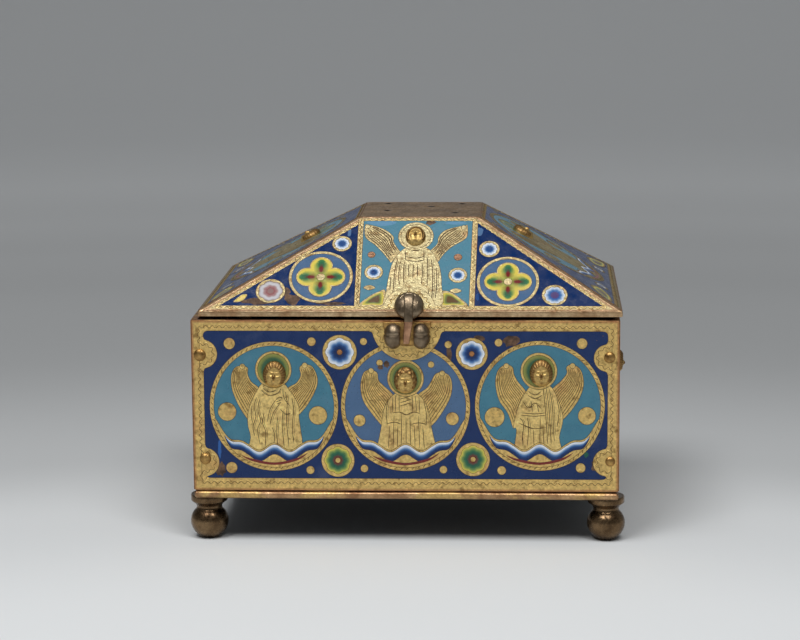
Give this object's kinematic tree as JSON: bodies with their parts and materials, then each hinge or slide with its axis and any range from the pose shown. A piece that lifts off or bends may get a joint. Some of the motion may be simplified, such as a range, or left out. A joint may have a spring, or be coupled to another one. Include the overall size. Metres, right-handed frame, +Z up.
{
  "type": "chrismatory",
  "caption": "Box for holy oils with a hinged lid shaped like a cut-off pyramid, on turned ball feet, with enamelled copper-gilt walls, cast heads and a front clasp.",
  "frame": {"origin": "on the ground under the middle of the box, between the feet", "axes": "+X to the right seen from the front, -Y towards the front, +Z up"},
  "size_m": [0.1704, 0.1228, 0.1233],
  "materials": {
    "enamelled_plate": "gilt copper with polished dark blue, blue and turquoise enamel",
    "gilt_bronze": "cast, worn gilding",
    "dark_bronze": "dark brown patina, worn bright on the domes",
    "copper": "bare, brown copper"
  },
  "bodies": {
    "box": {"front_plate": "enamelled_plate", "back_plate": "enamelled_plate", "left_plate": "enamelled_plate", "right_plate": "enamelled_plate", "bottom_plate": "copper", "foot_front_left": "dark_bronze", "foot_front_right": "dark_bronze", "foot_back_left": "dark_bronze", "foot_back_right": "dark_bronze", "rivet_front_left_upper": "dark_bronze", "rivet_front_left_lower": "dark_bronze", "rivet_front_right_upper": "dark_bronze", "rivet_front_right_lower": "dark_bronze", "rivet_back_left_upper": "dark_bronze", "rivet_back_left_lower": "dark_bronze", "rivet_back_right_upper": "dark_bronze", "rivet_back_right_lower": "dark_bronze", "clasp_staple": "dark_bronze", "head_front_left": "gilt_bronze", "head_front_middle": "gilt_bronze", "head_front_right": "gilt_bronze", "head_left_front": "gilt_bronze", "head_left_back": "gilt_bronze", "head_right_front": "gilt_bronze", "head_right_back": "gilt_bronze", "hinge_box_left": "gilt_bronze", "hinge_box_right": "gilt_bronze", "hinge_pin_left": "copper", "hinge_pin_right": "copper"},
    "lid": {"lid": "enamelled_plate", "clasp_hasp": "dark_bronze", "head_lid_front": "gilt_bronze", "head_lid_left": "gilt_bronze", "head_lid_right": "gilt_bronze", "hinge_lid_left": "gilt_bronze", "hinge_lid_right": "gilt_bronze"}
  },
  "joints": [
    {"name": "lid_hinge", "type": "hinge", "parent": "box", "child": "lid", "pos_m": [0, 0.0591, 0.0886], "axis": [-1, 0, 0], "range_deg": [0, 105]}
  ]
}
